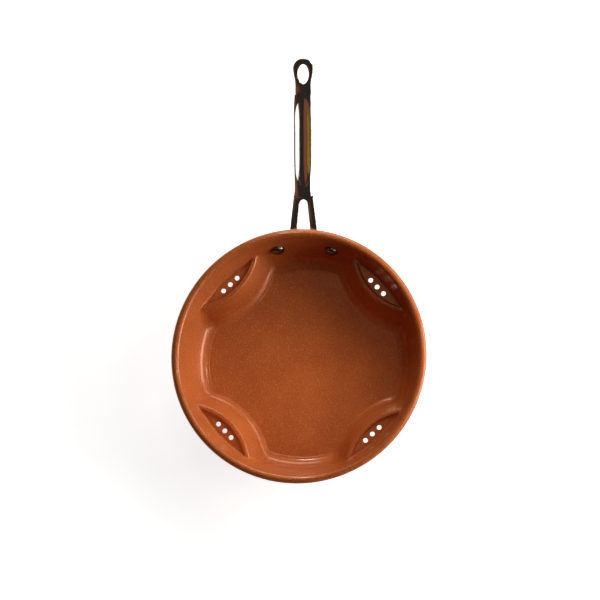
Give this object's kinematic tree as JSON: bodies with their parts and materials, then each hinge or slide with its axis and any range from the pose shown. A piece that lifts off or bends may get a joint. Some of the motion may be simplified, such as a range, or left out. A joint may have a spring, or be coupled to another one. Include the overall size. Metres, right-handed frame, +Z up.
{
  "type": "frying pan",
  "caption": "Round non-stick frying pan with drain pockets pressed into its corners for pouring off liquid, and a riveted forked steel handle that ends in a hanging ring",
  "frame": {"origin": "centre of the base plate's underside, where the pan stands on a flat surface", "axes": "+Z up out of the pan, +Y along the handle away from the pan, +X to the right when looking down with the handle pointing away"},
  "size_m": [0.26, 0.4274, 0.1038],
  "materials": {
    "coated_shell": "pressed aluminium with a copper-coloured sparkling non-stick coating",
    "induction_plate": "brushed magnetic steel, a guess because it faces away",
    "polished_steel": "polished stainless steel",
    "rivet_steel": "polished stainless steel rivets"
  },
  "bodies": {
    "root": {"pan_body": "coated_shell", "base_plate": "induction_plate", "handle_bracket": "polished_steel", "rivet_left": "rivet_steel", "rivet_right": "rivet_steel", "grip_top_shell": "polished_steel", "grip_bottom_shell": "polished_steel", "hang_ring": "polished_steel"}
  },
  "joints": []
}
